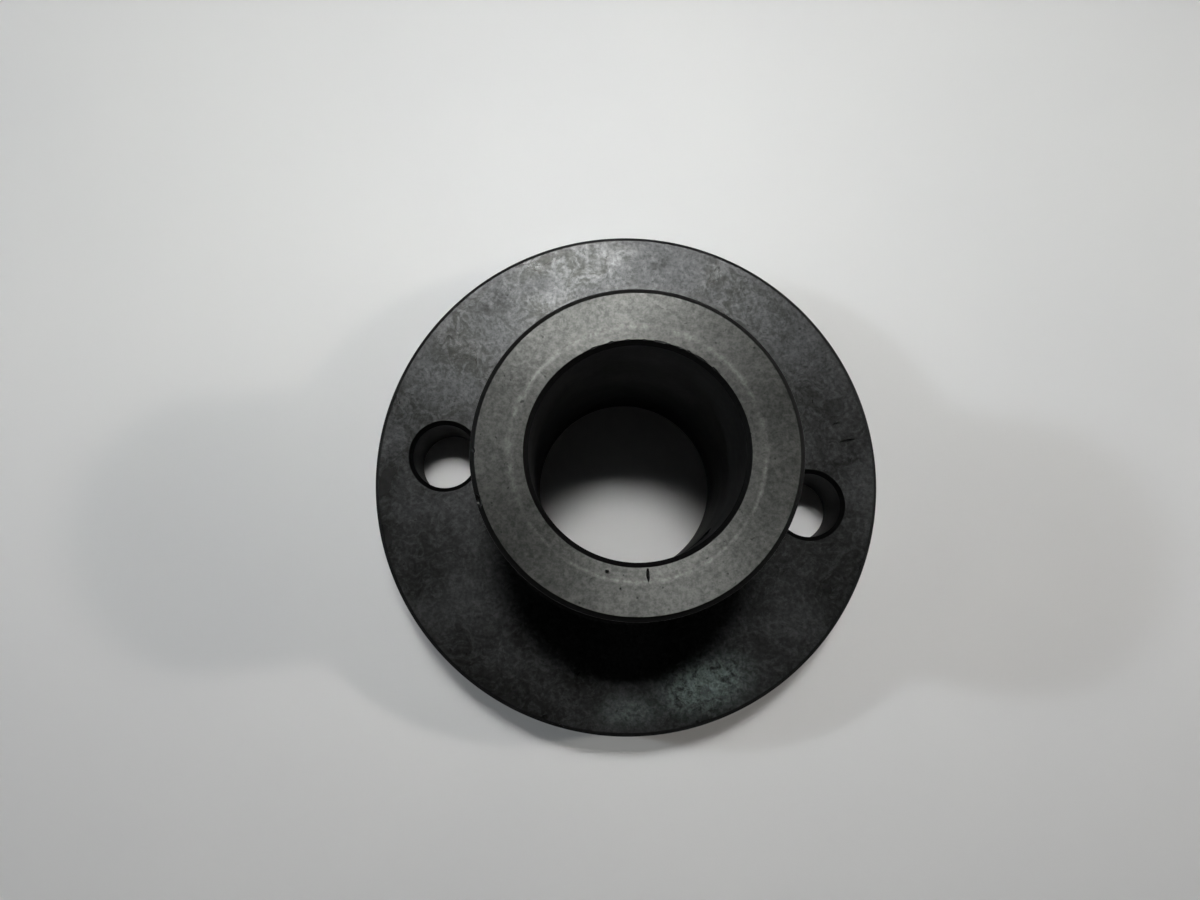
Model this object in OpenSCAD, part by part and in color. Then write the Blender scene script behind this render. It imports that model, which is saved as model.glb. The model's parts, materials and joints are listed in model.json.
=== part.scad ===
// Flanged shaft collar: one turned collar with two bolt holes through its flange,
// and two cup-point socket set screws in its hub that grip the shaft.
// The origin is the centre of the flange's underside. +Z runs up the bore towards the end of the hub.
// The two flange holes lie on the X axis, and the set screws lie on the -Y side of the hub.

/* [Flange] */
// Outside diameter of the flange
flange_d = 71; // [68:0.5:90]
// Thickness of the flange
flange_t = 13; // [8:0.5:14]
// Edge break round both rims of the flange
rim_break = 0.5; // [0.2:0.1:1]
// Diameter of the circle through the centres of the flange holes
bolt_circle_d = 52; // [51.6:0.2:54]
// Diameter of each flange hole
flange_hole_d = 9; // [6:0.5:9]
// Edge break round both ends of each flange hole
hole_break = 0.6; // [0.2:0.1:0.6]

/* [Hub] */
// Outside diameter of the hub
hub_d = 39; // [36:0.5:39]
// Height from the flange's underside to the end of the hub
overall_h = 44.5; // [40:0.5:60]
// Chamfer on the outer edge of the hub's end
hub_chamfer = 0.6; // [0.3:0.1:1.5]
// Radius left by the turning tool where the hub meets the flange
root_fillet_r = 0.8; // [0.4:0.1:0.8]

/* [Bore] */
// Diameter of the through bore
bore_d = 25.4; // [19:0.1:26]
// Chamfer at each mouth of the bore
bore_chamfer = 0.6; // [0.3:0.1:1]

/* [Set screws] */
// Major diameter of the set screw's thread
screw_d = 7.94; // [6:0.01:7.94]
// Length of a set screw
screw_len = 6.35; // [5:0.05:8]
// Radial clearance between the set screw and its hole
screw_clearance = 0.05; // [0.02:0.01:0.1]
// Gap between the screw's point and the bore wall, screwed home
point_gap = 0.05; // [0.02:0.01:0.5]
// Diameter of the cup point's rim
cup_d = 4.3; // [3:0.1:4.4]
// Depth of the hollow in the cup point
cup_depth = 0.9; // [0.4:0.1:1]
// Width across the flats of the hex socket
socket_af = 3.97; // [2.5:0.01:3.97]
// Depth of the hex socket
socket_depth = 3.2; // [1.5:0.1:3.2]
// Chamfer round the socket end of the screw
screw_end_chamfer = 0.5; // [0.2:0.1:0.7]
// Depth of the countersink at the outer end of each tapped hole
countersink_depth = 0.9; // [0.5:0.1:1]
// Angle between the two set screws, measured round the bore
screw_spread = 90; // [60:5:120]

/* [Hidden] */
$fn = 96;
flange_r = flange_d / 2;
hub_r = hub_d / 2;
bore_r = bore_d / 2;
hole_r = flange_hole_d / 2;
screw_r = screw_d / 2;
cup_r = cup_d / 2;
tapped_r = screw_r + screw_clearance;
screw_z = (flange_t + overall_h) / 2;
cup_wall = 0.3;
cup_bore_r = cup_r - cup_wall;
point_r = bore_r + point_gap;
point_taper = screw_r - cup_r;
socket_cone_h = 0.6;
overlap = 0.2;
clear_of_wall = 1;
minus_y = -90;
screw_a_angle = minus_y + screw_spread / 2;
screw_b_angle = minus_y - screw_spread / 2;
black_oxide = [0.16, 0.16, 0.155];
screw_black = [0.1, 0.1, 0.1];

// Half section of the turned collar, with radius along x and height along y
module collar_section() {
    polygon([
        [bore_r + bore_chamfer, 0],
        [flange_r - rim_break, 0],
        [flange_r, rim_break],
        [flange_r, flange_t - rim_break],
        [flange_r - rim_break, flange_t],
        [hub_r, flange_t],
        [hub_r, overall_h - hub_chamfer],
        [hub_r - hub_chamfer, overall_h],
        [bore_r + bore_chamfer, overall_h],
        [bore_r, overall_h - bore_chamfer],
        [bore_r, bore_chamfer]
    ]);
    root_fillet();
}

// Concave fillet in the corner between the flange's face and the hub
module root_fillet() {
    difference() {
        translate([hub_r - overlap, flange_t - overlap])
            square(root_fillet_r + overlap);
        translate([hub_r + root_fillet_r, flange_t + root_fillet_r])
            circle(root_fillet_r);
    }
}

// Cutter for one flange hole: a through hole with both mouths broken
module flange_hole_cutter() {
    translate([0, 0, -clear_of_wall])
        cylinder(r = hole_r, h = flange_t + 2 * clear_of_wall);
    translate([0, 0, -overlap])
        cylinder(r1 = hole_r + hole_break + overlap, r2 = hole_r, h = hole_break + overlap);
    translate([0, 0, flange_t - hole_break])
        cylinder(r1 = hole_r, r2 = hole_r + hole_break + overlap, h = hole_break + overlap);
}

// Places its children so that their +Z runs outwards along a set screw's radial line
module on_screw_line(angle) {
    rotate([0, 0, angle])
        translate([0, 0, screw_z])
            rotate([0, 90, 0])
                children();
}

// Cutter for one tapped hole through the hub's wall, with its outer end countersunk
module tapped_hole_cutter() {
    translate([0, 0, bore_r / 2])
        cylinder(r = tapped_r, h = hub_r + clear_of_wall - bore_r / 2);
    translate([0, 0, hub_r - countersink_depth])
        cylinder(
            r1 = tapped_r,
            r2 = tapped_r + countersink_depth + clear_of_wall,
            h = countersink_depth + clear_of_wall
        );
}

// One set screw, its cup point at the bottom and its hex socket at the top
module set_screw() {
    difference() {
        rotate_extrude()
            polygon([
                [0, 0],
                [cup_r, 0],
                [screw_r, point_taper],
                [screw_r, screw_len - screw_end_chamfer],
                [screw_r - screw_end_chamfer, screw_len],
                [0, screw_len]
            ]);
        translate([0, 0, -overlap])
            cylinder(r = cup_bore_r, h = overlap);
        cylinder(r1 = cup_bore_r, r2 = 0, h = cup_depth);
        translate([0, 0, screw_len - socket_depth])
            cylinder(d = socket_af / cos(30), h = socket_depth + overlap, $fn = 6);
        translate([0, 0, screw_len - socket_depth - socket_cone_h])
            cylinder(r1 = 0, r2 = socket_af / 2, h = socket_cone_h);
    }
}

module collar_body() {
    color(black_oxide)
        difference() {
            rotate_extrude()
                collar_section();
            for (side = [-1, 1])
                translate([side * bolt_circle_d / 2, 0, 0])
                    flange_hole_cutter();
            for (angle = [screw_a_angle, screw_b_angle])
                on_screw_line(angle)
                    tapped_hole_cutter();
        }
}

module set_screw_a() {
    color(screw_black)
        on_screw_line(screw_a_angle)
            translate([0, 0, point_r])
                set_screw();
}

module set_screw_b() {
    color(screw_black)
        on_screw_line(screw_b_angle)
            translate([0, 0, point_r])
                set_screw();
}

collar_body();
set_screw_a();
set_screw_b();
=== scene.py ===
"""Looks for the flanged shaft collar: a turned collar in worn black oxide and its two socket set screws.

Lengths are in metres, and MM turns millimetres into them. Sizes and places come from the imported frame.
"""

import json
import math
import random

import bmesh
import bpy
from mathutils import Matrix, Vector, noise


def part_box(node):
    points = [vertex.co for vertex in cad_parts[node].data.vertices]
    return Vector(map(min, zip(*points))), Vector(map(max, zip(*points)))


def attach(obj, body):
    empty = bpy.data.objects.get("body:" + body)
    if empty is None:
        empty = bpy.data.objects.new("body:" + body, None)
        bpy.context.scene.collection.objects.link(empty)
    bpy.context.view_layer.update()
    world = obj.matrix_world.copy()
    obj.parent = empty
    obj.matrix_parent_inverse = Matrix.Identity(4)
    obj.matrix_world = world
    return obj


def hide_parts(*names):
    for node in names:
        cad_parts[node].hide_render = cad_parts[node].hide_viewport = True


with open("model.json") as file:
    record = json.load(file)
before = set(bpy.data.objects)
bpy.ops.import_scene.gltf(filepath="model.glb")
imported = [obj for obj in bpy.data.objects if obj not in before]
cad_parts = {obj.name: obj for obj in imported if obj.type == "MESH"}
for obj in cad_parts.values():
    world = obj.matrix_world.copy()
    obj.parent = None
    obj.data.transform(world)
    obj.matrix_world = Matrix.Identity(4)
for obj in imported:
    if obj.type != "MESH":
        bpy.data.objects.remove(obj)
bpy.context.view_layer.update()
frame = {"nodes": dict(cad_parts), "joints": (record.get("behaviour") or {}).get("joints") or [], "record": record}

MM = 0.001
UP = Vector((0, 0, 1))


# Sizes, from the frame

def widest(node, low, high):
    """The largest distance from the Z axis among a CAD node's points between two heights."""
    points = (v.co for v in frame["nodes"][node].data.vertices)
    return max(p.xy.length for p in points if low <= p.z <= high)


MOUNTS = {mount["name"]: mount for mount in frame["record"]["mounts"]}
BODIES = frame["record"]["behaviour"]["bodies"]
COLLAR_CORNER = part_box("collar_body")[1]
SLIVER = 0.01 * MM

HEIGHT = COLLAR_CORNER.z
FLANGE_T = MOUNTS["flange_front_face"]["pos_m"][2]
FLANGE_R = COLLAR_CORNER.x
ABOVE_ROOT = FLANGE_T + 5 * MM
HUB_R = widest("collar_body", ABOVE_ROOT, HEIGHT)
HUB_CHAMFER = HUB_R - widest("collar_body", HEIGHT - SLIVER, HEIGHT)
RIM_BREAK = FLANGE_R - widest("collar_body", 0, SLIVER)
BORE_R = MOUNTS["bore"]["dims"]["r_mm"] * MM
BORE_CHAMFER = (HEIGHT - MOUNTS["bore"]["dims"]["length_mm"] * MM) / 2
HOLE_R = MOUNTS["flange_holes"]["dims"]["hole_r_mm"] * MM
HOLE_CIRCLE_R = MOUNTS["flange_holes"]["dims"]["pcd_mm"] * MM / 2

# Sizes that the frame doesn't hold
HOLE_BREAK = 0.6 * MM
ROOT_FILLET = 0.8 * MM
EDGE_SOFTENING = 0.12 * MM

# The ring that a mating part has rubbed into the hub's end face
RING_R = 14.9 * MM
RING_HALF_WIDTH = 0.28 * MM
RING_DEPTH = 0.006 * MM

# The set screws' thread: 18 turns to the inch, with 60 degree flanks
PITCH = 25.4 / 18 * MM
FLANK_SLOPE = math.tan(math.radians(30))
SCREW_CREST_R = 3.95 * MM
SCREW_ROOT_R = 3.13 * MM
SCREW_CREST_HALF = PITCH / 16
TAPPED_CREST_R = 3.32 * MM
TAPPED_ROOT_R = 4.03 * MM
THREAD_PLAY = 0.04 * MM

# How finely the meshes are divided
ROUNDING_STEPS = 5
COLLAR_STEPS = 360
TOOL_STEPS = 128
SOCKET_STEPS = 96
THREAD_STEPS = 96
LUMP_SUBDIVISIONS = 3
MERGE_DISTANCE = 0.0005 * MM
SHARP_ANGLE = math.radians(28)

# How far a cutting tool reaches past the surface that it cuts
OVER = 1 * MM


# Mesh tools

def new_piece(name, bm):
    """A mesh object made from a bmesh, with its faces turned outwards."""
    bmesh.ops.recalc_face_normals(bm, faces=bm.faces)
    mesh = bpy.data.meshes.new(name)
    bm.to_mesh(mesh)
    bm.free()
    piece = bpy.data.objects.new(name, mesh)
    bpy.context.scene.collection.objects.link(piece)
    return piece


def softened(corners):
    """A closed outline from corners (radius, height, rounding), with an arc wherever a rounding isn't 0."""
    outline = []
    for index, (x, y, rounding) in enumerate(corners):
        if rounding == 0:
            outline.append((x, y))
            continue
        here = Vector((x, y))
        before = Vector(corners[index - 1][:2]) - here
        after = Vector(corners[(index + 1) % len(corners)][:2]) - here
        half_angle = before.angle(after) / 2
        middle = (before.normalized() + after.normalized()).normalized()
        centre = here + middle * (rounding / math.sin(half_angle))
        reach = rounding / math.tan(half_angle)
        start = here + before.normalized() * reach - centre
        end = here + after.normalized() * reach - centre
        for step in range(ROUNDING_STEPS + 1):
            arm = start.slerp(end, step / ROUNDING_STEPS) * rounding
            outline.append(tuple(centre + arm))
    return outline


def lathe(name, outline, steps):
    """A solid of revolution about Z from a closed outline of (radius, height) points."""
    bm = bmesh.new()
    rings = []
    for radius, height in outline:
        if radius == 0:
            rings.append([bm.verts.new((0, 0, height))] * steps)
            continue
        angles = [2 * math.pi * step / steps for step in range(steps)]
        ring = [(radius * math.cos(a), radius * math.sin(a), height) for a in angles]
        rings.append([bm.verts.new(point) for point in ring])
    for ring, above in zip(rings, rings[1:] + rings[:1]):
        for step in range(steps):
            beyond = (step + 1) % steps
            corners = [ring[step], ring[beyond], above[beyond], above[step]]
            corners = list(dict.fromkeys(corners))
            if len(corners) > 2:
                bm.faces.new(corners)
    return new_piece(name, bm)


def thread_solid(name, crest_r, root_r, crest_half, start, end):
    """A threaded rod along Z that reaches past start and end, with a ridge that winds right-handed.

    Each turn has four rails: the foot and the crest of the ridge's lower flank, then of its upper flank. The
    ridge starts on a whole turn, so that a screw's thread and its hole's are in step.
    """
    lead_in, spare_turns = 1.5 * PITCH, 3
    foot_half = crest_half + (crest_r - root_r) * FLANK_SLOPE
    rails = [(root_r, -foot_half), (crest_r, -crest_half), (crest_r, crest_half), (root_r, foot_half)]
    turns = math.ceil((end - start) / PITCH) + spare_turns
    low = start - lead_in
    low -= low % PITCH
    bm = bmesh.new()
    grid = []
    for step in range(turns * THREAD_STEPS + 1):
        angle = 2 * math.pi * step / THREAD_STEPS
        centre = low + PITCH * step / THREAD_STEPS
        row = [(r * math.cos(angle), r * math.sin(angle), centre + dz) for r, dz in rails]
        grid.append([bm.verts.new(point) for point in row])
    last = len(grid) - 1
    for step in range(last):
        here, beyond = grid[step], grid[step + 1]
        for rail in range(len(rails) - 1):
            bm.faces.new([here[rail], beyond[rail], beyond[rail + 1], here[rail + 1]])
        if step + THREAD_STEPS < last:
            turn_on, turn_beyond = grid[step + THREAD_STEPS], grid[step + THREAD_STEPS + 1]
            bm.faces.new([here[-1], beyond[-1], turn_beyond[0], turn_on[0]])
    lower_edge = [row[0] for row in grid[: THREAD_STEPS + 1]] + grid[0][:0:-1]
    upper_edge = [row[-1] for row in grid[last - THREAD_STEPS:]] + grid[last][:-1][::-1]
    for loop, height in ((lower_edge, low - PITCH), (upper_edge, low + (turns + 1) * PITCH)):
        middle = bm.verts.new((0, 0, height))
        for one, two in zip(loop, loop[1:] + loop[:1]):
            bm.faces.new([one, two, middle])
    return new_piece(name, bm)


def carve(piece, tool, operation="DIFFERENCE"):
    """Cuts the tool out of the piece, or keeps what they share, and deletes the tool."""
    modifier = piece.modifiers.new("carve", "BOOLEAN")
    modifier.object = tool
    modifier.operation = operation
    modifier.solver = "MANIFOLD"
    depsgraph = bpy.context.evaluated_depsgraph_get()
    result = bpy.data.meshes.new_from_object(piece.evaluated_get(depsgraph))
    piece.modifiers.clear()
    spent = piece.data
    piece.data = result
    result.name = piece.name
    bpy.data.meshes.remove(spent)
    bpy.data.objects.remove(tool)


def finish_surface(piece):
    """Smooth shading with crisp edges, weighted so that flat faces stay flat beside their rounded edges.

    Many-sided faces are split here, since an exporter's own split can give an edge four faces.
    """
    bm = bmesh.new()
    bm.from_mesh(piece.data)
    bmesh.ops.remove_doubles(bm, verts=bm.verts, dist=MERGE_DISTANCE)
    bmesh.ops.dissolve_degenerate(bm, edges=bm.edges, dist=MERGE_DISTANCE)
    many_sided = [face for face in bm.faces if len(face.verts) > 4]
    bmesh.ops.triangulate(bm, faces=many_sided, ngon_method="BEAUTY")
    for face in bm.faces:
        face.smooth = True
    for edge in bm.edges:
        edge.smooth = len(edge.link_faces) == 2 and edge.calc_face_angle() < SHARP_ANGLE
    bm.to_mesh(piece.data)
    bm.free()
    weighted = piece.modifiers.new("weighted normals", "WEIGHTED_NORMAL")
    weighted.keep_sharp = True
    weighted.weight = 100


# The collar

def collar_outline():
    """Half section of the turned collar, anticlockwise from the lower mouth of the bore."""
    soft = EDGE_SOFTENING
    return softened([
        (BORE_R + BORE_CHAMFER, 0, soft),
        (FLANGE_R - RIM_BREAK, 0, soft),
        (FLANGE_R, RIM_BREAK, soft),
        (FLANGE_R, FLANGE_T - RIM_BREAK, soft),
        (FLANGE_R - RIM_BREAK, FLANGE_T, soft),
        (HUB_R, FLANGE_T, ROOT_FILLET),
        (HUB_R, HEIGHT - HUB_CHAMFER, soft),
        (HUB_R - HUB_CHAMFER, HEIGHT, soft),
        (RING_R + RING_HALF_WIDTH, HEIGHT, soft),
        (RING_R, HEIGHT - RING_DEPTH, soft),
        (RING_R - RING_HALF_WIDTH, HEIGHT, soft),
        (BORE_R + BORE_CHAMFER, HEIGHT, soft),
        (BORE_R, HEIGHT - BORE_CHAMFER, soft),
        (BORE_R, BORE_CHAMFER, soft),
    ])


def flange_hole_tool(side):
    """Cutter for one flange hole, with both mouths broken at 45 degrees."""
    mouth_r = HOLE_R + HOLE_BREAK + OVER
    outline = softened([
        (0, -OVER, 0),
        (mouth_r, -OVER, 0),
        (HOLE_R, HOLE_BREAK, EDGE_SOFTENING),
        (HOLE_R, FLANGE_T - HOLE_BREAK, EDGE_SOFTENING),
        (mouth_r, FLANGE_T + OVER, 0),
        (0, FLANGE_T + OVER, 0),
    ])
    tool = lathe("flange_hole_tool", outline, TOOL_STEPS)
    tool.data.transform(Matrix.Translation((side * HOLE_CIRCLE_R, 0, 0)))
    return tool


class ScrewLine:
    """The radial line of one set screw, from its joint's axis and its CAD node's points."""

    def __init__(self, joint):
        self.body = joint["child"]
        self.node = BODIES[self.body][0]
        axis = Vector(joint["axis"]).normalized()
        low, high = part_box(self.node)
        centre = Vector((0, 0, (low.z + high.z) / 2))
        along = [(v.co - centre).dot(axis) for v in frame["nodes"][self.node].data.vertices]
        self.tip, self.end = min(along), max(along)
        self.radius = (high.z - low.z) / 2
        self.matrix = Matrix.Translation(centre) @ axis.to_track_quat("Z", "Y").to_matrix().to_4x4()


SCREWS = [ScrewLine(joint) for joint in frame["joints"]]


def tapped_hole_tools(line):
    """Cutters for one tapped hole: the thread's grooves, and the countersink at its outer end."""
    crest_half = (SCREW_CREST_R - TAPPED_ROOT_R) * FLANK_SLOPE + SCREW_CREST_HALF + THREAD_PLAY
    inner_end, outer_end = BORE_R - 3 * MM, HUB_R + 2 * MM
    groove = thread_solid("groove_tool", TAPPED_ROOT_R, TAPPED_CREST_R, crest_half, inner_end, outer_end)
    sink_depth = 0.9 * MM
    sink_r = TAPPED_ROOT_R + sink_depth
    sink_over = 2 * MM
    sink = lathe("countersink_tool", [
        (0, HUB_R - sink_r),
        (sink_r + sink_over, HUB_R + sink_over),
        (0, HUB_R + sink_over),
    ], TOOL_STEPS)
    for tool in (groove, sink):
        tool.data.transform(line.matrix)
    return groove, sink


# Dents: azimuth in degrees, radius and height in metres, and millimetres along the edge, across it and deep
DENTS = [
    (187, HUB_R - 0.2 * MM, HEIGHT + 0.05 * MM, (0.7, 0.5, 0.35)),
    (205, HUB_R - 0.1 * MM, HEIGHT - 0.1 * MM, (0.9, 0.5, 0.5)),
    (-78, 14.2 * MM, HEIGHT, (0.2, 0.8, 0.3)),
    (-97, 14.2 * MM, HEIGHT, (0.22, 0.26, 0.3)),
    (-90, 15.8 * MM, HEIGHT, (0.14, 0.14, 0.2)),
    (18, 32.0 * MM, FLANGE_T, (0.18, 1.1, 0.25)),
    (23, 31.0 * MM, FLANGE_T, (0.14, 0.5, 0.2)),
    (140, FLANGE_R - 0.1 * MM, FLANGE_T - 0.1 * MM, (0.8, 0.4, 0.5)),
    (262, FLANGE_R - 0.1 * MM, FLANGE_T - 0.1 * MM, (1.0, 0.4, 0.5)),
    (318, FLANGE_R + 0.05 * MM, FLANGE_T / 2, (1.2, 0.3, 0.6)),
    (64, HUB_R + 0.1 * MM, HEIGHT - 9 * MM, (0.6, 0.3, 1.1)),
]

# Nicks: azimuths in degrees from the first to the last, a range of steps between them, and millimetres
NICKED_FROM, NICKED_TO = 48, 116
NICK_STEP = 1.5, 9
NICK_ACROSS = 0.06, 0.15
NICK_ALONG = 0.25, 0.9
NICK_DEPTH = 0.12


def mouth_nicks():
    """More dents: shallow ones along the bore's mouth, where parts have been dragged over its edge."""
    chance = random.Random(5)
    azimuth = NICKED_FROM
    while azimuth < NICKED_TO:
        azimuth += chance.uniform(*NICK_STEP)
        across = chance.uniform(*NICK_ACROSS)
        along = chance.uniform(*NICK_ALONG)
        yield azimuth, BORE_R + BORE_CHAMFER, HEIGHT, (along, across, NICK_DEPTH)


def dent_tool(azimuth, radius, height, size, seed):
    """A lump, different for each seed, that knocks a dent where it meets the surface."""
    unevenness, lumps_per_radius = 0.35, 1.4
    offset = Vector((seed, 2.3 * seed, 0.7 * seed))
    bm = bmesh.new()
    bmesh.ops.create_icosphere(bm, subdivisions=LUMP_SUBDIVISIONS, radius=1)
    for v in bm.verts:
        v.co *= 1 + unevenness * noise.noise(v.co * lumps_per_radius + offset)
    tool = new_piece("dent_tool", bm)
    along, across, deep = (length * MM for length in size)
    turn = Matrix.Rotation(math.radians(azimuth), 4, "Z")
    place = Matrix.Translation((radius, 0, height))
    tool.data.transform(turn @ place @ Matrix.Diagonal((across, along, deep, 1)))
    return tool


def make_collar():
    collar = lathe("turned_collar", collar_outline(), COLLAR_STEPS)
    for side in (-1, 1):
        carve(collar, flange_hole_tool(side))
    for line in SCREWS:
        for tool in tapped_hole_tools(line):
            carve(collar, tool)
    for seed, dent in enumerate(DENTS + list(mouth_nicks())):
        carve(collar, dent_tool(*dent, seed))
    finish_surface(collar)
    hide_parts("collar_body")
    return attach(collar, "collar")


# The set screws, with a cup point at one end and a 5/32 in hexagon socket in the other

CUP_R = 2.15 * MM
CUP_WALL = 0.3 * MM
CUP_DEPTH = 0.9 * MM
END_CHAMFER = 0.5 * MM
SCREW_SOFTENING = 0.05 * MM
SOCKET_FLAT_R = 3.97 * MM / 2
SOCKET_CORNER_R = SOCKET_FLAT_R / math.cos(math.radians(30))
SOCKET_DEPTH = 3.2 * MM
SOCKET_CONE = 0.6 * MM
SOCKET_MOUTH = 0.25 * MM


def screw_envelope(line):
    """The shape that the threaded rod is trimmed to."""
    return lathe("envelope", softened([
        (0, line.tip + CUP_DEPTH, 0),
        (CUP_R - CUP_WALL, line.tip, SCREW_SOFTENING),
        (CUP_R, line.tip, SCREW_SOFTENING),
        (line.radius, line.tip + line.radius - CUP_R, 0),
        (line.radius, line.end - END_CHAMFER, 0),
        (line.radius - END_CHAMFER, line.end, SCREW_SOFTENING),
        (0, line.end, 0),
    ]), TOOL_STEPS)


def socket_tools(line):
    """Cutters for the hexagon socket with its drilled bottom, and for the 45 degree chamfer at its mouth."""
    bottom = line.end - SOCKET_DEPTH
    socket = lathe("socket", [
        (0, bottom - SOCKET_CONE),
        (SOCKET_CORNER_R, bottom),
        (SOCKET_CORNER_R, line.end + OVER),
        (0, line.end + OVER),
    ], steps=6)
    apex = line.end - SOCKET_MOUTH - SOCKET_FLAT_R
    reach = SOCKET_CORNER_R + OVER
    mouth = lathe("socket_mouth", [(0, apex), (reach, apex + reach), (0, apex + reach)], SOCKET_STEPS)
    return socket, mouth


def make_set_screw(line):
    screw = thread_solid("screw", SCREW_CREST_R, SCREW_ROOT_R, SCREW_CREST_HALF, line.tip, line.end)
    carve(screw, screw_envelope(line), "INTERSECT")
    for tool in socket_tools(line):
        carve(screw, tool)
    screw.data.transform(line.matrix)
    screw.name = "socket_screw_" + line.body[-1]
    finish_surface(screw)
    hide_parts(line.node)
    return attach(screw, line.body)


# Materials

class Shader:
    """A short way to write a material's node tree. Values may be numbers, tuples or other nodes' sockets."""

    def __init__(self, name):
        self.material = bpy.data.materials.new(name)
        self.material.use_nodes = True
        self.tree = self.material.node_tree
        self.surface = self.tree.nodes["Principled BSDF"]

    def node(self, kind, output=0, settings=None, **inputs):
        """One of a new node's outputs. An input is given by its name, or by i and its number."""
        node = self.tree.nodes.new(kind)
        for key, value in (settings or {}).items():
            setattr(node, key, value)
        for key, value in inputs.items():
            socket = int(key[1:]) if key[1:].isdigit() else key.replace("_", " ")
            self.put(node.inputs[socket], value)
        return node.outputs[output]

    def put(self, socket, value):
        if isinstance(value, bpy.types.NodeSocket):
            self.tree.links.new(value, socket)
        else:
            socket.default_value = value

    def set(self, **inputs):
        """Sets the surface's own inputs."""
        for key, value in inputs.items():
            self.put(self.surface.inputs[key.replace("_", " ")], value)

    def math(self, operation, *values, clamp=False):
        settings = {"operation": operation, "use_clamp": clamp}
        return self.node("ShaderNodeMath", 0, settings, **{f"i{i}": v for i, v in enumerate(values)})

    def vector(self, operation, *values, output="Vector"):
        inputs = {f"i{i}": value for i, value in enumerate(values)}
        return self.node("ShaderNodeVectorMath", output, {"operation": operation}, **inputs)

    def join(self, x, y, z):
        return self.node("ShaderNodeCombineXYZ", X=x, Y=y, Z=z)

    def noise(self, vector, scale, detail=4.0, roughness=0.5, w=None, distortion=0.0):
        inputs = {"Vector": vector, "Scale": scale, "Detail": detail, "Roughness": roughness}
        inputs["Distortion"] = distortion
        settings = {"noise_dimensions": "3D"}
        if w is not None:
            settings = {"noise_dimensions": "4D"}
            inputs["W"] = w
        return self.node("ShaderNodeTexNoise", 0, settings, **inputs)

    def fit(self, value, low, high, to_low=0.0, to_high=1.0):
        """Maps value from low..high to to_low..to_high smoothly, and holds it outside."""
        settings = {"interpolation_type": "SMOOTHSTEP"}
        return self.node("ShaderNodeMapRange", 0, settings, i0=value, i1=low, i2=high, i3=to_low, i4=to_high)

    def mix(self, share, one, two):
        """A colour between one and two."""
        return self.node("ShaderNodeMix", 2, {"data_type": "RGBA"}, i0=share, i6=one, i7=two)

    def mix_value(self, share, one, two):
        """A number between one and two."""
        return self.node("ShaderNodeMix", 0, {"data_type": "FLOAT"}, i0=share, i2=one, i3=two)

    def scaled(self, vector, factor):
        """A vector made longer or shorter, or a colour made lighter or darker, by a factor."""
        product = self.vector("SCALE", vector)
        self.put(product.node.inputs["Scale"], factor)
        return product

    def relief(self, height, strength, depth):
        """A normal that looks as if the surface had that relief."""
        return self.node("ShaderNodeBump", Strength=strength, Distance=depth, Height=height)


class Place:
    """Where a point is, in millimetres, and the directions away from the Z axis and round it."""

    def __init__(self, s):
        self.position = s.vector("MULTIPLY", s.node("ShaderNodeTexCoord", "Object"), (1 / MM,) * 3)
        parts = s.tree.nodes.new("ShaderNodeSeparateXYZ")
        s.put(parts.inputs[0], self.position)
        x, y, self.height = parts.outputs
        flat = s.join(x, y, 0.0)
        self.radius = s.vector("LENGTH", flat, output="Value")
        self.outwards = s.vector("NORMALIZE", flat)
        self.round_axis = s.vector("CROSS_PRODUCT", (0, 0, 1), self.outwards)


NEUTRAL = (1.0, 1.0, 1.0)
OLIVE = (0.985, 1.0, 0.94)
COOL = (0.975, 1.0, 1.0)
TEAL = (0.80, 1.0, 0.93)


def grey(value, tint=NEUTRAL):
    """A grey of that brightness with a slight tint."""
    return tuple(value * share for share in tint) + (1,)


# Tones of the collar's steel. A pair is the darker and the lighter end of a mottled tone.
PIT_TONE = grey(0.006)
# Bevels are painted darker: painted shade
BEVEL_SHADE_TONE = grey(0.010)
# Walls inside the bore and the holes are painted darker: painted shade
INNER_WALL_SHADE_TONES = grey(0.024), grey(0.036)
# Outside walls are painted lighter: painted light
OUTER_WALL_LIT_TONES = grey(0.056), grey(0.094, COOL)
FLANGE_TONES = grey(0.0115, OLIVE), grey(0.023, COOL)
FLANGE_RUBBED_TONE = grey(0.036, COOL)
FLANGE_STAIN_TONE = grey(0.009)
FLANGE_SWIRL_TONE = grey(0.010)
# A bright teal tone for a painted reflection on the flange's face
FLANGE_REFLECTION_TONE = grey(0.17, TEAL)
HUB_FACE_TONES = grey(0.036, OLIVE), grey(0.046, OLIVE)
HUB_FACE_RUBBED_TONE = grey(0.066, OLIVE)
RING_TONE = grey(0.12, OLIVE)

# How rough each surface is, and how much its grooves stretch a highlight
INNER_WALL_ROUGHNESS, OUTER_WALL_ROUGHNESS = 0.60, 0.46
FLANGE_ROUGHNESS, HUB_FACE_ROUGHNESS = 0.30, 0.34
WALL_STRETCH, FLANGE_STRETCH, HUB_FACE_STRETCH = 0.40, 0.42, 0.79

# Marks on the flange's face: azimuth in degrees, radius, half-lengths round and across in mm, and strength
# Where the painted reflection lies on the flange's face
REFLECTION_PATCHES = [(-62, 30.5, 9.0, 5.0, 0.8), (-82, 32.0, 6.0, 3.0, 0.3)]
RUBBED = [(103, 31.5, 3.5, 4.5, 0.9), (118, 29.5, 5.0, 4.5, 0.5), (60, 31.0, 5.0, 3.0, 0.4)]
STAINED = [
    (90, 32.6, 3.5, 2.8, 0.8),
    (135, 32.0, 4.5, 3.2, 0.8),
    (18, 32.2, 2.0, 2.0, 0.7),
    (75, 30.5, 4.0, 3.5, 0.4),
]


def grooves(s, place, per_mm, drift):
    """Noise that changes quickly across the turned grooves and slowly along them."""
    across = s.join(0.0, 0.0, s.math("MULTIPLY", place.radius, per_mm))
    lifted = s.vector("ADD", s.scaled(place.outwards, drift), across)
    return s.noise(lifted, scale=1.0, detail=3.0, w=s.math("MULTIPLY", place.height, per_mm))


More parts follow.
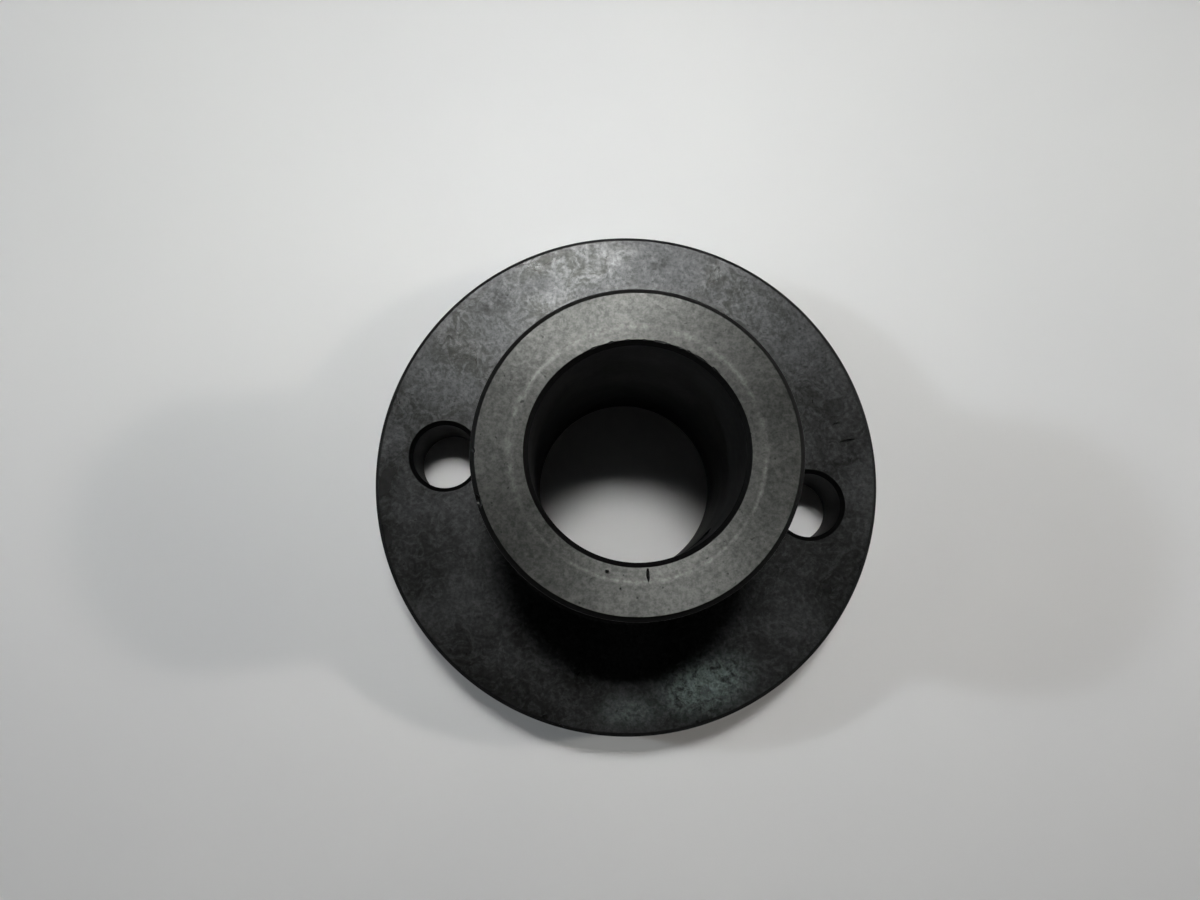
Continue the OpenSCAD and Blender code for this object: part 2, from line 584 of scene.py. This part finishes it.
class Marks:
    """The noises that mark the collar's steel. Their scales are in features to the millimetre."""

    def __init__(self, s, place):
        at = place.position
        self.fine_grooves = grooves(s, place, per_mm=5.0, drift=4.0)
        self.coarse_grooves = grooves(s, place, per_mm=0.8, drift=1.2)
        self.blotches = s.noise(at, scale=0.10, detail=3.0, roughness=0.5, distortion=0.4)
        self.smears = s.noise(at, scale=0.45, detail=6.0, roughness=0.65, distortion=2.2)
        self.clouds = s.noise(at, scale=0.35, detail=4.0, roughness=0.6, distortion=1.0)
        # Breaks up the edges of the painted reflection
        self.reflection_breakup = s.noise(at, scale=1.1, detail=6.0, roughness=0.8, distortion=0.6)
        self.grain = s.noise(at, scale=1.9, detail=4.0, roughness=0.7)
        self.pits = s.fit(s.noise(at, scale=1.3, detail=2.0, roughness=0.5), 0.69, 0.75)
        swirls = s.noise(at, scale=0.55, detail=4.0, roughness=0.6, distortion=1.6)
        lines = s.fit(s.math("ABSOLUTE", s.math("SUBTRACT", swirls, 0.5)), 0.0, 0.02, 1.0, 0.0)
        self.swirls = s.math("MULTIPLY", lines, s.fit(self.smears, 0.40, 0.60))


class Faces:
    """Which of the collar's surfaces a point is on, as shares from 0 to 1. A flat face is also a bevel."""

    def __init__(self, s, place, normal):
        upright_part = s.vector("DOT_PRODUCT", normal, (0, 0, 1), output="Value")
        squareness = s.math("ABSOLUTE", upright_part)
        top = HEIGHT / MM
        self.square = s.fit(squareness, 0.80, 0.97)
        self.hub_face = s.math("MULTIPLY", self.square, s.fit(place.height, top - 0.08, top - 0.04))
        self.bevel = s.fit(squareness, 0.5, 0.65)
        self.wall = s.fit(squareness, 0.2, 0.5, 1.0, 0.0)
        from_hub_wall = s.math("ABSOLUTE", s.math("SUBTRACT", place.radius, HUB_R / MM))
        near_hub_wall = s.fit(from_hub_wall, 0.9, 1.0, 1.0, 0.0)
        near_rim = s.fit(place.radius, FLANGE_R / MM - 1.0, FLANGE_R / MM - 0.9)
        self.outside = s.math("MAXIMUM", near_hub_wall, near_rim)


def worn_ring(s, place, marks, faces):
    """How strongly the bright ring shows, with a width and a strength that vary round it."""
    offset = s.math("ABSOLUTE", s.math("SUBTRACT", place.radius, RING_R / MM))
    width = s.fit(marks.blotches, 0.40, 0.60, 0.30, 0.60)
    ring = s.math("SUBTRACT", 1.0, s.math("DIVIDE", offset, width), clamp=True)
    strength = s.fit(marks.clouds, 0.40, 0.60, 0.25, 1.0)
    return s.math("MULTIPLY", s.math("MULTIPLY", ring, faces.hub_face), strength)


def patches(s, place, ragged, places):
    """How strongly the marks at those places show, with edges made ragged by a noise."""
    total = 0.0
    for azimuth, radius, half_round, half_across, strength in places:
        turn = -math.radians(azimuth)
        turned = s.node(
            "ShaderNodeVectorRotate", 0, {"rotation_type": "Z_AXIS"}, Vector=place.position, Angle=turn
        )
        offset = s.vector("SUBTRACT", turned, (radius, 0, FLANGE_T / MM))
        in_lengths = s.vector("DIVIDE", offset, (half_across, half_round, 1))
        distance = s.vector("LENGTH", in_lengths, output="Value")
        share = s.math("MULTIPLY", s.fit(distance, 0.1, 1.0, strength, 0.0), s.fit(ragged, 0.36, 0.62))
        total = s.math("MAXIMUM", total, share)
    return total


def wall_tone(s, marks, faces):
    """Painted shade darkens the walls inside the holes and the bevels; painted light lightens the outside walls,
    which have turned lines.
    """
    inside = s.mix(s.fit(marks.smears, 0.35, 0.65), *INNER_WALL_SHADE_TONES)
    outside = s.mix(s.fit(marks.smears, 0.40, 0.65), *OUTER_WALL_LIT_TONES)
    lines = s.math("ADD", marks.fine_grooves, marks.coarse_grooves)
    outside = s.scaled(outside, s.fit(lines, 0.75, 1.25, 0.7, 1.3))
    tone = s.mix(s.math("MULTIPLY", faces.outside, faces.wall), inside, outside)
    return s.mix(faces.bevel, tone, BEVEL_SHADE_TONE)


def flange_tone(s, place, marks):
    """Mottled dark oxide, with rubbed and stained patches, and a bright teal patch that is a painted reflection.
    """
    tone = s.mix(s.fit(marks.blotches, 0.32, 0.68), *FLANGE_TONES)
    tone = s.mix(s.fit(marks.smears, 0.42, 0.64, 0.0, 0.6), tone, FLANGE_RUBBED_TONE)
    tone = s.mix(patches(s, place, marks.clouds, RUBBED), tone, FLANGE_RUBBED_TONE)
    tone = s.mix(patches(s, place, marks.clouds, STAINED), tone, FLANGE_STAIN_TONE)
    tone = s.mix(s.math("MULTIPLY", marks.swirls, 0.6), tone, FLANGE_SWIRL_TONE)
    return s.mix(patches(s, place, marks.reflection_breakup, REFLECTION_PATCHES), tone, FLANGE_REFLECTION_TONE)


def hub_face_tone(s, marks, ring):
    """Worn oxide, lighter than the flange, with the bright ring."""
    tone = s.mix(s.fit(marks.blotches, 0.40, 0.60), *HUB_FACE_TONES)
    tone = s.mix(s.fit(marks.smears, 0.40, 0.70, 0.0, 0.4), tone, HUB_FACE_RUBBED_TONE)
    return s.mix(s.math("MULTIPLY", ring, 0.5), tone, RING_TONE)


def collar_roughness(s, marks, faces, ring):
    walls = s.mix_value(faces.outside, INNER_WALL_ROUGHNESS, OUTER_WALL_ROUGHNESS)
    flats = s.mix_value(faces.hub_face, FLANGE_ROUGHNESS, HUB_FACE_ROUGHNESS)
    roughness = s.mix_value(faces.square, walls, flats)
    roughness = s.math("ADD", roughness, s.fit(marks.blotches, 0.3, 0.7, -0.03, 0.04))
    return s.math("ADD", roughness, s.math("MULTIPLY", ring, 0.06))


def collar_steel():
    """Turned steel in worn black oxide. Its grooves run round the axis, so highlights fan out from it."""
    s = Shader("collar_steel")
    normal = s.node("ShaderNodeNewGeometry", "Normal")
    place = Place(s)
    marks = Marks(s, place)
    faces = Faces(s, place, normal)
    ring = worn_ring(s, place, marks, faces)

    flats = s.mix(faces.hub_face, flange_tone(s, place, marks), hub_face_tone(s, marks, ring))
    tone = s.mix(faces.square, wall_tone(s, marks, faces), flats)
    contrast = s.mix_value(faces.square, 0.16, 0.30)
    mottling = s.math("MULTIPLY_ADD", s.fit(marks.grain, 0.30, 0.70, -1.0, 1.0), contrast, 1.0)
    tone = s.scaled(tone, mottling)
    tone = s.mix(s.math("MULTIPLY", marks.pits, 0.6), tone, PIT_TONE)

    flat_stretch = s.mix_value(faces.hub_face, FLANGE_STRETCH, HUB_FACE_STRETCH)
    stretch = s.mix_value(faces.square, WALL_STRETCH, flat_stretch)
    # The small part along Z is what is left on a surface that faces along the grooves
    across_grooves = s.vector("ADD", s.vector("CROSS_PRODUCT", normal, place.round_axis), (0, 0, 0.01))

    height = s.math(
        "ADD", s.math("MULTIPLY", marks.fine_grooves, 0.25), s.math("MULTIPLY", marks.coarse_grooves, 0.25)
    )
    height = s.math("ADD", height, s.math("MULTIPLY", marks.grain, 0.9))
    height = s.math("SUBTRACT", height, s.math("MULTIPLY", marks.pits, 0.6))
    s.set(
        Base_Color=tone, Metallic=1.0, Roughness=collar_roughness(s, marks, faces, ring),
        Normal=s.relief(height, strength=0.3, depth=0.02 * MM),
        Anisotropic=stretch, Tangent=across_grooves,
    )
    return s.material


# Tones of the screws' steel
SCREW_TONES = grey(0.035), grey(0.07, OLIVE)
SCREW_GRAIN_TONE = grey(0.10, OLIVE)
SCREW_WORN_TONE = grey(0.11, OLIVE)


def screw_steel():
    """Black oxide on a rolled thread, rubbed brighter at its socket and its cup point."""
    s = Shader("screw_steel")
    place = Place(s)
    end, tip = SCREWS[0].end / MM, SCREWS[0].tip / MM
    blotches = s.noise(place.position, scale=0.5, detail=5.0, roughness=0.6)
    grain = s.noise(place.position, scale=3.0, detail=5.0, roughness=0.65)
    tone = s.mix(s.fit(blotches, 0.35, 0.7), *SCREW_TONES)
    tone = s.mix(s.fit(grain, 0.5, 0.75, 0.0, 0.6), tone, SCREW_GRAIN_TONE)
    worn_end = s.fit(place.radius, end - 0.5, end + 0.1, 0.0, 0.5)
    worn_tip = s.fit(place.radius, tip + 0.8, tip, 0.0, 0.6)
    tone = s.mix(s.math("ADD", worn_end, worn_tip), tone, SCREW_WORN_TONE)
    height = s.math("ADD", grain, s.math("MULTIPLY", blotches, 0.5))
    s.set(
        Base_Color=tone, Metallic=1.0, Roughness=s.fit(grain, 0.3, 0.7, 0.28, 0.42),
        Normal=s.relief(height, strength=0.3, depth=0.02 * MM),
    )
    return s.material


FLOOR_TONES = (0.70, 0.70, 0.695, 1), (0.74, 0.738, 0.725, 1)


def floor_paint():
    """Pale satin board with a very faint unevenness. Its noises' scales are in features to the metre."""
    s = Shader("floor_paint")
    place = s.node("ShaderNodeTexCoord", "Object")
    cloud = s.noise(place, scale=12.0, detail=3.0)
    speck = s.noise(place, scale=900.0, detail=2.0)
    s.set(
        Base_Color=s.mix(s.fit(cloud, 0.3, 0.7), *FLOOR_TONES), Roughness=0.42, Specular_IOR_Level=0.35,
        Normal=s.relief(speck, strength=0.05, depth=0.05 * MM),
    )
    return s.material


def dress(pieces, material):
    for piece in pieces:
        piece.data.materials.clear()
        piece.data.materials.append(material)


# The stage

# The camera looks down on the hub, a little off the bore's axis. Its roll and the lens's length are in
# degrees and millimetres.
CAMERA_PLACE = Vector((-4.5, -18.5, 183.1)) * MM
CAMERA_TARGET = Vector((-4.35, 5.5, 0)) * MM
CAMERA_ROLL = 7.57
CAMERA_LENS = 36.3
CAMERA_SENSOR = 36

# The level directions that are up and to the right in the camera's picture
VIEW_UP = Matrix.Rotation(math.radians(CAMERA_ROLL), 3, "Z") @ Vector((0, 1, 0))
VIEW_RIGHT = VIEW_UP.cross(UP)

# The lamps are aimed a little behind the collar, so that the floor is brightest there
LIT_POINT = VIEW_UP * (55 * MM)
KEY_SIZE = (0.26, 0.18)
KEY_TILT = 18
SIDE_SIZE = (0.05, 0.05)
SIDE_TILT = 53

WHITE_LAMP = (1, 1, 1)
COOL_LAMP = (0.88, 0.95, 1)
WARM_LAMP = (1, 0.96, 0.90)

# What surrounds the scene: the sine of elevation up to which it changes, then its strength at the horizon
# and above that. The light comes from walls low all round. The camera sees a backdrop that pales upwards.
SURROUNDINGS = (0.92, 0.25, 0.03)
BACKDROP = (0.45, 0.095, 0.55)

FLOOR_HALF_SIZE = 3
FLOOR_CELLS = 8
FLOOR_GAP = 0.01 * MM


def placed(place, right, up, back):
    """The matrix of an object at that place, with its own axes along right, up and back."""
    return Matrix.Translation(place) @ Matrix((right, up, back)).transposed().to_4x4()


def make_camera():
    camera = bpy.data.objects.new("camera", bpy.data.cameras.new("camera"))
    bpy.context.scene.collection.objects.link(camera)
    back = (CAMERA_PLACE - CAMERA_TARGET).normalized()
    right = VIEW_UP.cross(back).normalized()
    camera.matrix_world = placed(CAMERA_PLACE, right, back.cross(right), back)
    camera.data.sensor_width = CAMERA_SENSOR
    camera.data.lens = CAMERA_LENS
    camera.data.clip_start = 1 * MM
    bpy.context.scene.camera = camera


def make_lamp(name, direction, distance, size, watts, half_beam, colour=WHITE_LAMP):
    """A rectangular area lamp in that direction and at that distance from the collar's foot.

    Its beam fades out at half_beam degrees from its axis. Seen along the axis, it is as bright as a bare
    lamp of that many watts.
    """
    half_beam = math.radians(half_beam)
    light = bpy.data.lights.new(name, "AREA")
    light.shape = "RECTANGLE"
    light.size, light.size_y = size
    light.energy = watts * (1 - half_beam / math.tan(half_beam))
    light.spread = 2 * half_beam
    light.color = colour
    lamp = bpy.data.objects.new(name, light)
    bpy.context.scene.collection.objects.link(lamp)
    place = direction.normalized() * distance
    back = (place - LIT_POINT).normalized()
    is_behind = abs(back.dot(VIEW_RIGHT)) < 0.5
    up = back.cross(VIEW_RIGHT if is_behind else VIEW_UP).normalized()
    lamp.matrix_world = placed(place, up.cross(back), up, back)


def tilted(heading, degrees):
    """A direction that leans from the vertical towards a level heading."""
    return UP * math.cos(math.radians(degrees)) + heading.normalized() * math.sin(math.radians(degrees))


def make_lights():
    """A narrow and a wide lamp behind the collar, as the camera sees it, and a lower one on each side."""
    behind = tilted(VIEW_UP, KEY_TILT)
    left = tilted(VIEW_UP * 0.17 - VIEW_RIGHT, SIDE_TILT)
    right = tilted(VIEW_UP * 0.11 + VIEW_RIGHT, SIDE_TILT)
    make_lamp("key", behind, 1.2, KEY_SIZE, watts=14.2, half_beam=7.5)
    make_lamp("key_surround", behind, 1.21, KEY_SIZE, watts=2.1, half_beam=60)
    make_lamp("side_left", left, 1.0, SIDE_SIZE, watts=2.5, half_beam=25, colour=COOL_LAMP)
    make_lamp("side_right", right, 1.0, SIDE_SIZE, watts=2.5, half_beam=25, colour=WARM_LAMP)


def make_world():
    """White light whose strength changes with elevation, and another such gradient for the camera to see."""
    world = bpy.data.worlds.new("world")
    world.use_nodes = True
    nodes, links = world.node_tree.nodes, world.node_tree.links
    direction = nodes.new("ShaderNodeSeparateXYZ")
    links.new(nodes.new("ShaderNodeTexCoord").outputs["Generated"], direction.inputs[0])
    strengths = []
    for highest_change, at_horizon, overhead in (SURROUNDINGS, BACKDROP):
        by_height = nodes.new("ShaderNodeMapRange")
        links.new(direction.outputs["Z"], by_height.inputs["Value"])
        by_height.inputs["From Max"].default_value = highest_change
        by_height.inputs["To Min"].default_value = at_horizon
        by_height.inputs["To Max"].default_value = overhead
        strengths.append(by_height.outputs["Result"])
    seen = nodes.new("ShaderNodeMix")
    links.new(nodes.new("ShaderNodeLightPath").outputs["Is Camera Ray"], seen.inputs["Factor"])
    links.new(strengths[0], seen.inputs["A"])
    links.new(strengths[1], seen.inputs["B"])
    links.new(seen.outputs["Result"], nodes["Background"].inputs["Strength"])
    nodes["Background"].inputs["Color"].default_value = (1, 1, 1, 1)
    bpy.context.scene.world = world


def make_floor():
    bm = bmesh.new()
    bmesh.ops.create_grid(bm, x_segments=FLOOR_CELLS, y_segments=FLOOR_CELLS, size=FLOOR_HALF_SIZE)
    floor = new_piece("floor", bm)
    if floor.data.polygons[0].normal.z < 0:
        floor.data.flip_normals()
    floor.location.z = -FLOOR_GAP
    dress([floor], floor_paint())


dress([make_collar()], collar_steel())
dress([make_set_screw(line) for line in SCREWS], screw_steel())
make_floor()
make_world()
make_lights()
make_camera()
bpy.context.scene.view_settings.view_transform = "Standard"
